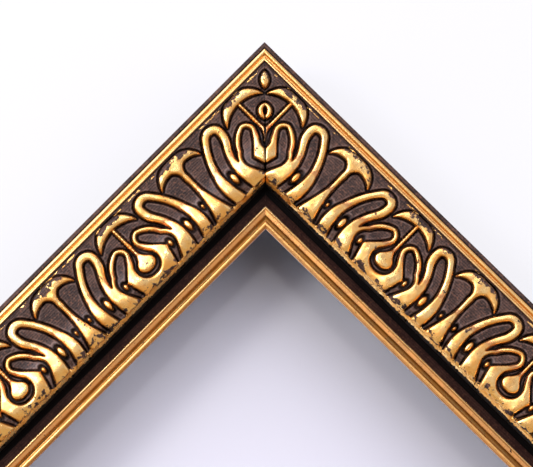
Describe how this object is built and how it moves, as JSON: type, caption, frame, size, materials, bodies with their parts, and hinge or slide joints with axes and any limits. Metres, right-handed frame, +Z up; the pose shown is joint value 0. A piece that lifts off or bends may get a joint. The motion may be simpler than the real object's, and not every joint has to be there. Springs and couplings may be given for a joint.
{
  "type": "ornate gilded picture frame",
  "caption": "Wall-hung rectangular picture frame: mitred moulding with gilded palmette relief on a dark field, a gilt inner slip, turn buttons that hold the picture, swinging hanging rings.",
  "frame": {"origin": "on the wall plane, midway between the two wall hooks that the raised hanging rings rest on", "axes": "+Z up, +X right as seen from the front, +Y towards the wall, so the gilded front faces -Y"},
  "size_m": [0.338, 0.0337, 0.425],
  "materials": {
    "patinated_rail": "dark brown patina with a fine woven grain, gilt edge bead",
    "gilded_ornament": "gold leaf over moulded composition, burnished and rubbed",
    "gilded_slip": "dark flat with gilt sight edge, rubbed",
    "zinc_steel": "zinc plated",
    "bumper_rubber": "matte"
  },
  "bodies": {
    "frame": {"top_rail": "patinated_rail", "top_slip": "gilded_slip", "top_palmettes": "gilded_ornament", "top_fans": "gilded_ornament", "top_crescents": "gilded_ornament", "top_drops": "gilded_ornament", "bottom_rail": "patinated_rail", "bottom_slip": "gilded_slip", "bottom_palmettes": "gilded_ornament", "bottom_fans": "gilded_ornament", "bottom_crescents": "gilded_ornament", "bottom_drops": "gilded_ornament", "left_rail": "patinated_rail", "left_slip": "gilded_slip", "left_palmettes": "gilded_ornament", "left_fans": "gilded_ornament", "left_crescents": "gilded_ornament", "left_drops": "gilded_ornament", "right_rail": "patinated_rail", "right_slip": "gilded_slip", "right_palmettes": "gilded_ornament", "right_fans": "gilded_ornament", "right_crescents": "gilded_ornament", "right_drops": "gilded_ornament", "corner_bosses_top_left": "gilded_ornament", "v_nails_top_left": "zinc_steel", "corner_bosses_top_right": "gilded_ornament", "v_nails_top_right": "zinc_steel", "corner_bosses_bottom_left": "gilded_ornament", "v_nails_bottom_left": "zinc_steel", "corner_bosses_bottom_right": "gilded_ornament", "v_nails_bottom_right": "zinc_steel", "button_screws": "zinc_steel", "hanger_strap_left": "zinc_steel", "hanger_strap_right": "zinc_steel", "hanger_screws": "zinc_steel", "bumpers": "bumper_rubber"},
    "button_top": {"turn_button_top": "zinc_steel"},
    "button_bottom": {"turn_button_bottom": "zinc_steel"},
    "button_left_upper": {"turn_button_left_upper": "zinc_steel"},
    "button_left_lower": {"turn_button_left_lower": "zinc_steel"},
    "button_right_upper": {"turn_button_right_upper": "zinc_steel"},
    "button_right_lower": {"turn_button_right_lower": "zinc_steel"},
    "ring_left": {"hanger_ring_left": "zinc_steel"},
    "ring_right": {"hanger_ring_right": "zinc_steel"}
  },
  "joints": [
    {"name": "button_top_turn", "type": "hinge", "parent": "frame", "child": "button_top", "pos_m": [0, -0.0055, 0.0556], "axis": [0, 1, 0], "continuous": true},
    {"name": "button_bottom_turn", "type": "hinge", "parent": "frame", "child": "button_bottom", "pos_m": [0, -0.0055, -0.2606], "axis": [0, 1, 0], "continuous": true},
    {"name": "button_left_upper_turn", "type": "hinge", "parent": "frame", "child": "button_left_upper", "pos_m": [-0.1146, -0.0055, -0.0275], "axis": [0, 1, 0], "continuous": true},
    {"name": "button_left_lower_turn", "type": "hinge", "parent": "frame", "child": "button_left_lower", "pos_m": [-0.1146, -0.0055, -0.1775], "axis": [0, 1, 0], "continuous": true},
    {"name": "button_right_upper_turn", "type": "hinge", "parent": "frame", "child": "button_right_upper", "pos_m": [0.1146, -0.0055, -0.0275], "axis": [0, 1, 0], "continuous": true},
    {"name": "button_right_lower_turn", "type": "hinge", "parent": "frame", "child": "button_right_lower", "pos_m": [0.1146, -0.0055, -0.1775], "axis": [0, 1, 0], "continuous": true},
    {"name": "ring_left_swing", "type": "hinge", "parent": "frame", "child": "ring_left", "pos_m": [-0.146, -0.00285, -0.01065], "axis": [1, 0, 0], "range_deg": [0, 180]},
    {"name": "ring_right_swing", "type": "hinge", "parent": "frame", "child": "ring_right", "pos_m": [0.146, -0.00285, -0.01065], "axis": [1, 0, 0], "range_deg": [0, 180]}
  ]
}
